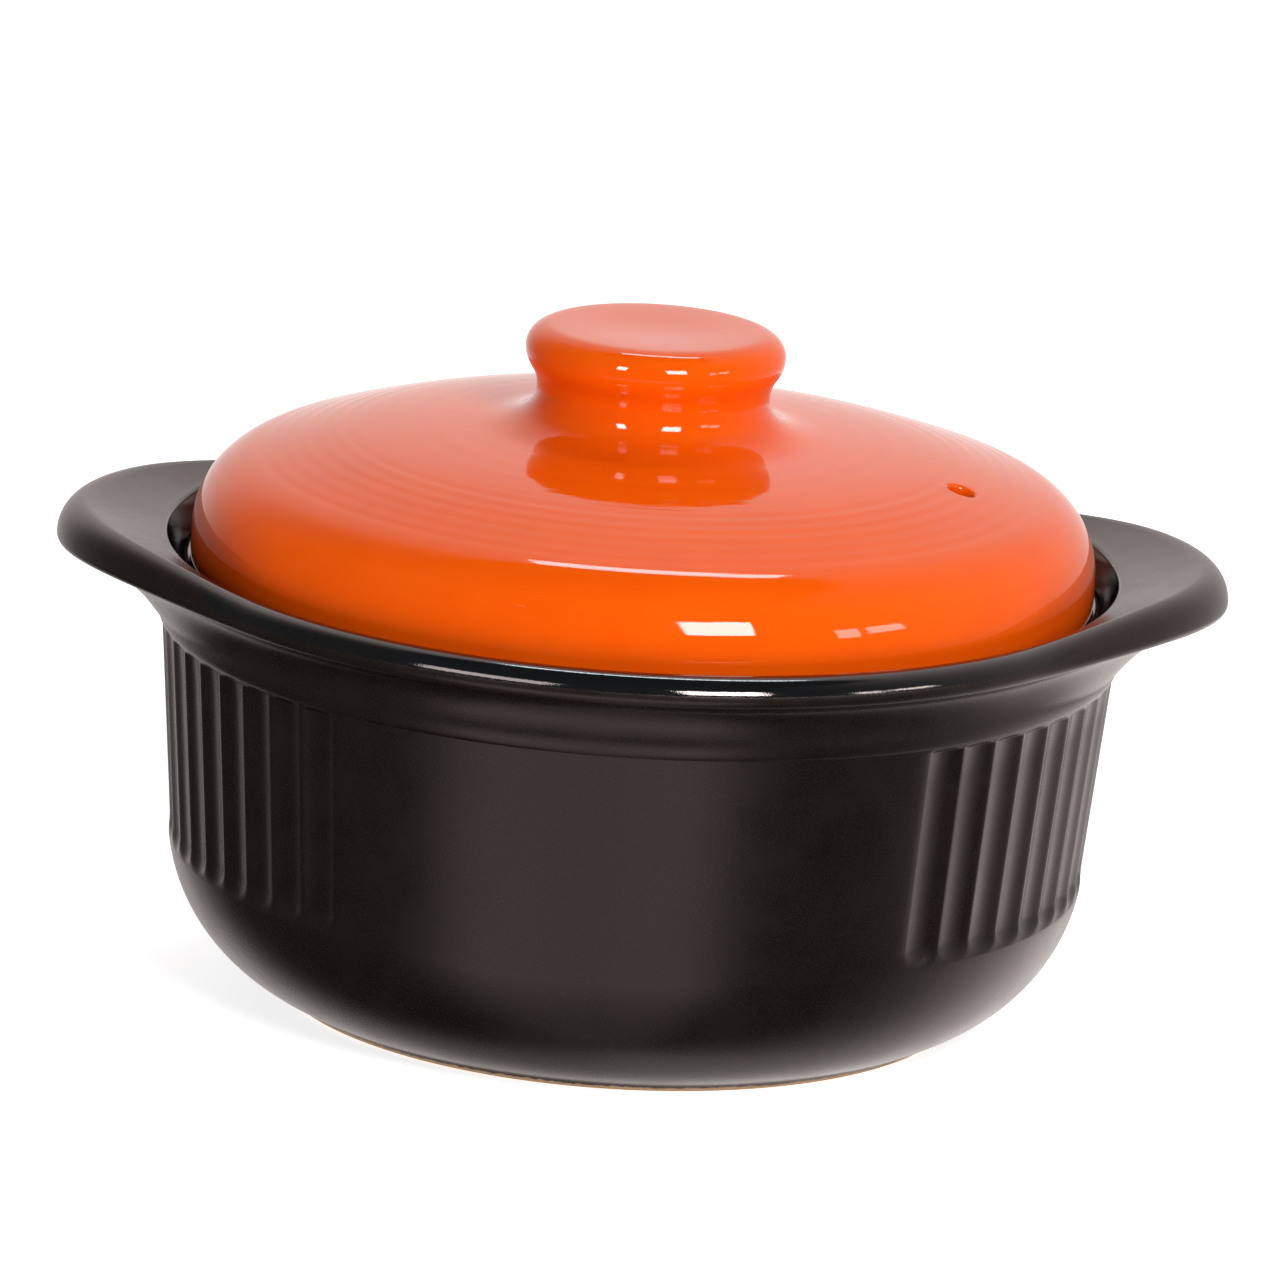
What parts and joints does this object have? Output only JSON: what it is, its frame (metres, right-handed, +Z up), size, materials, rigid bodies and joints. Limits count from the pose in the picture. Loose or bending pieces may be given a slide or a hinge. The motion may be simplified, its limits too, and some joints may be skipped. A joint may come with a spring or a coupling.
{
  "type": "soup pot",
  "caption": "Round ceramic soup pot with fluted side panels, ear handles at the rim and a domed glazed lid with a knob and a steam hole, for simmering and serving.",
  "frame": {"origin": "centre of the foot, on the surface that the pot stands on", "axes": "+Z up along the pot's axis, +X along the line through the two handles, -Y towards the viewer of the picture"},
  "size_m": [0.2838, 0.2432, 0.1662],
  "materials": {
    "dark_glaze": "satin outside, gloss inside",
    "orange_glaze": "gloss"
  },
  "bodies": {
    "pot": {"pot_body": "dark_glaze"},
    "lid": {"lid": "orange_glaze"}
  },
  "joints": [
    {"name": "lid_lift", "type": "slide", "parent": "pot", "child": "lid", "axis": [0, 0, 1], "range_m": [0, 0.15]}
  ]
}
